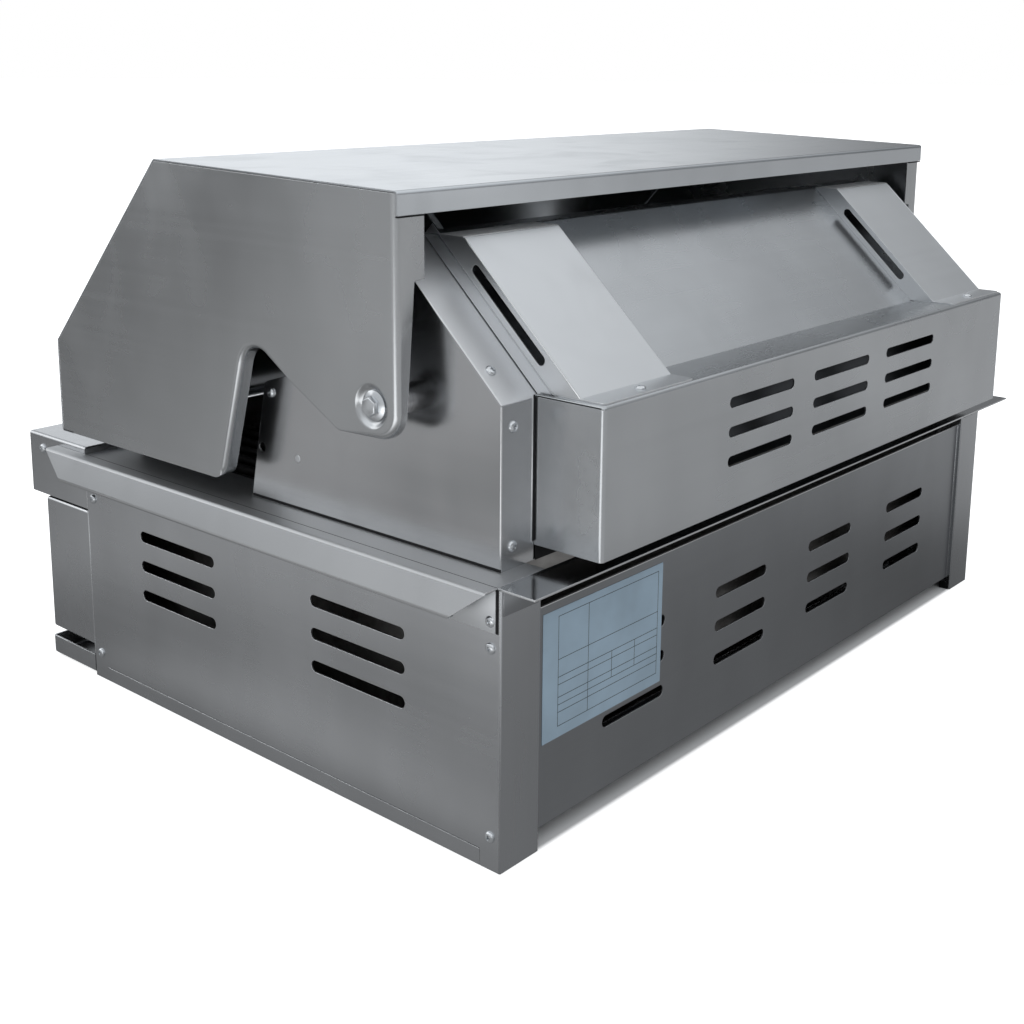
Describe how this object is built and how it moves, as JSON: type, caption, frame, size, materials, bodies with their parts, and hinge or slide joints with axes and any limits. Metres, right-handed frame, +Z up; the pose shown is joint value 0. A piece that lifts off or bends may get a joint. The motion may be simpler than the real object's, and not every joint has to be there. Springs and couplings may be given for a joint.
{
  "type": "built-in gas barbecue grill",
  "caption": "Built-in gas grill head in folded stainless sheet: slotted cabinet with a counter flange, hinged angular hood, rear burner box, control panel with knobs and slide-out drip tray.",
  "frame": {"origin": "centre of the bounding box in plan, on the floor that the posts and base rails stand on", "axes": "+X across the width to the right of someone facing the control panel, +Y from the control panel to the rear, +Z up"},
  "size_m": [0.8382, 0.661, 0.493],
  "materials": {
    "outer_sheet": "satin brushed stainless sheet, about number 4 finish, with faint handling smudges",
    "hood_sheet": "satin brushed stainless sheet with a longer, brighter grain on the top",
    "inner_sheet": "plain stainless liner sheet, dull and lightly heat tinted",
    "grate_iron": "matt black enamelled cast iron",
    "burner_steel": "drawn stainless tube, dull",
    "tile_ceramic": "pale fired ceramic tile, matt",
    "rack_chrome": "bright plated wire",
    "fastener_zinc": "bright zinc plated steel",
    "valve_brass": "bare turned brass",
    "handle_steel": "finely brushed stainless tube",
    "knob_metal": "spun satin aluminium",
    "bezel_chrome": "polished ring",
    "dial_steel": "polished stainless case with a white dial",
    "needle_red": "red lacquered pointer",
    "bumper_rubber": "black silicone rubber",
    "switch_plastic": "black moulded plastic",
    "bush_steel": "turned steel"
  },
  "bodies": {
    "cabinet": {"side_panel_left": "outer_sheet", "side_panel_right": "outer_sheet", "rear_panel": "outer_sheet", "rear_post_left": "outer_sheet", "rear_post_right": "outer_sheet", "front_posts": "inner_sheet", "base_rails": "outer_sheet", "counter_flange_left": "outer_sheet", "counter_flange_right": "outer_sheet", "rear_flange": "outer_sheet", "front_cap": "outer_sheet", "control_panel": "outer_sheet", "firebox_liners": "inner_sheet", "firebox_front": "inner_sheet", "firebox_back": "inner_sheet", "firebox_side_left": "outer_sheet", "firebox_side_right": "outer_sheet", "rear_shield": "outer_sheet", "rear_burner_housing": "outer_sheet", "flue_cover_left": "outer_sheet", "flue_cover_right": "outer_sheet", "rear_burner_body": "burner_steel", "rear_burner_tile": "tile_ceramic", "main_burners": "burner_steel", "flame_tamers": "inner_sheet", "cooking_grate_left": "grate_iron", "cooking_grate_middle": "grate_iron", "cooking_grate_right": "grate_iron", "warming_rack": "rack_chrome", "rack_brackets": "inner_sheet", "gas_manifold": "burner_steel", "gas_valves": "valve_brass", "gas_inlet": "valve_brass", "knob_bezels": "bezel_chrome", "light_switch": "switch_plastic", "pivot_bolts": "fastener_zinc", "pivot_nuts": "fastener_zinc", "pivot_bushes": "bush_steel", "hood_bumpers": "bumper_rubber", "sheet_screws": "fastener_zinc"},
    "hood": {"hood_shell": "hood_sheet", "hood_side_left": "hood_sheet", "hood_side_right": "hood_sheet", "handle_bar": "handle_steel", "handle_posts": "handle_steel", "thermometer_case": "dial_steel"},
    "dial_pointer": {"thermometer_needle": "needle_red"},
    "tray": {"drip_tray": "outer_sheet"},
    "switch": {"switch_rocker": "switch_plastic"},
    "stem_1": {"valve_stem_1": "valve_brass"},
    "knob_1": {"control_knob_1": "knob_metal"},
    "stem_2": {"valve_stem_2": "valve_brass"},
    "knob_2": {"control_knob_2": "knob_metal"},
    "stem_3": {"valve_stem_3": "valve_brass"},
    "knob_3": {"control_knob_3": "knob_metal"},
    "stem_4": {"valve_stem_4": "valve_brass"},
    "knob_4": {"control_knob_4": "knob_metal"},
    "stem_5": {"valve_stem_5": "valve_brass"},
    "knob_5": {"control_knob_5": "knob_metal"}
  },
  "joints": [
    {"name": "hood_hinge", "type": "hinge", "parent": "cabinet", "child": "hood", "pos_m": [0, 0.1705, 0.328], "axis": [-1, 0, 0], "range_deg": [0, 68]},
    {"name": "tray_slide", "type": "slide", "parent": "cabinet", "child": "tray", "axis": [0, -1, 0], "range_m": [0, 0.38]},
    {"name": "dial_pointer_turn", "type": "hinge", "parent": "hood", "child": "dial_pointer", "pos_m": [0, -0.162, 0.4075], "axis": [0, 0.7323, -0.6809], "range_deg": [0, 240]},
    {"name": "light_switch_rock", "type": "hinge", "parent": "cabinet", "child": "switch", "pos_m": [0.389, -0.2895, 0.1], "axis": [-1, 0, 0], "range_deg": [0, 20]},
    {"name": "knob_1_push", "type": "slide", "parent": "cabinet", "child": "stem_1", "axis": [0, 1, 0], "range_m": [0, 0.003], "stiffness_N_per_m": 900},
    {"name": "knob_1_turn", "type": "hinge", "parent": "stem_1", "child": "knob_1", "pos_m": [-0.27, -0.3095, 0.096], "axis": [0, -1, 0], "range_deg": [0, 200]},
    {"name": "knob_2_push", "type": "slide", "parent": "cabinet", "child": "stem_2", "axis": [0, 1, 0], "range_m": [0, 0.003], "stiffness_N_per_m": 900},
    {"name": "knob_2_turn", "type": "hinge", "parent": "stem_2", "child": "knob_2", "pos_m": [-0.09, -0.3095, 0.096], "axis": [0, -1, 0], "range_deg": [0, 200]},
    {"name": "knob_3_push", "type": "slide", "parent": "cabinet", "child": "stem_3", "axis": [0, 1, 0], "range_m": [0, 0.003], "stiffness_N_per_m": 900},
    {"name": "knob_3_turn", "type": "hinge", "parent": "stem_3", "child": "knob_3", "pos_m": [0, -0.3095, 0.096], "axis": [0, -1, 0], "range_deg": [0, 200]},
    {"name": "knob_4_push", "type": "slide", "parent": "cabinet", "child": "stem_4", "axis": [0, 1, 0], "range_m": [0, 0.003], "stiffness_N_per_m": 900},
    {"name": "knob_4_turn", "type": "hinge", "parent": "stem_4", "child": "knob_4", "pos_m": [0.09, -0.3095, 0.096], "axis": [0, -1, 0], "range_deg": [0, 200]},
    {"name": "knob_5_push", "type": "slide", "parent": "cabinet", "child": "stem_5", "axis": [0, 1, 0], "range_m": [0, 0.003], "stiffness_N_per_m": 900},
    {"name": "knob_5_turn", "type": "hinge", "parent": "stem_5", "child": "knob_5", "pos_m": [0.27, -0.3095, 0.096], "axis": [0, -1, 0], "range_deg": [0, 200]}
  ]
}
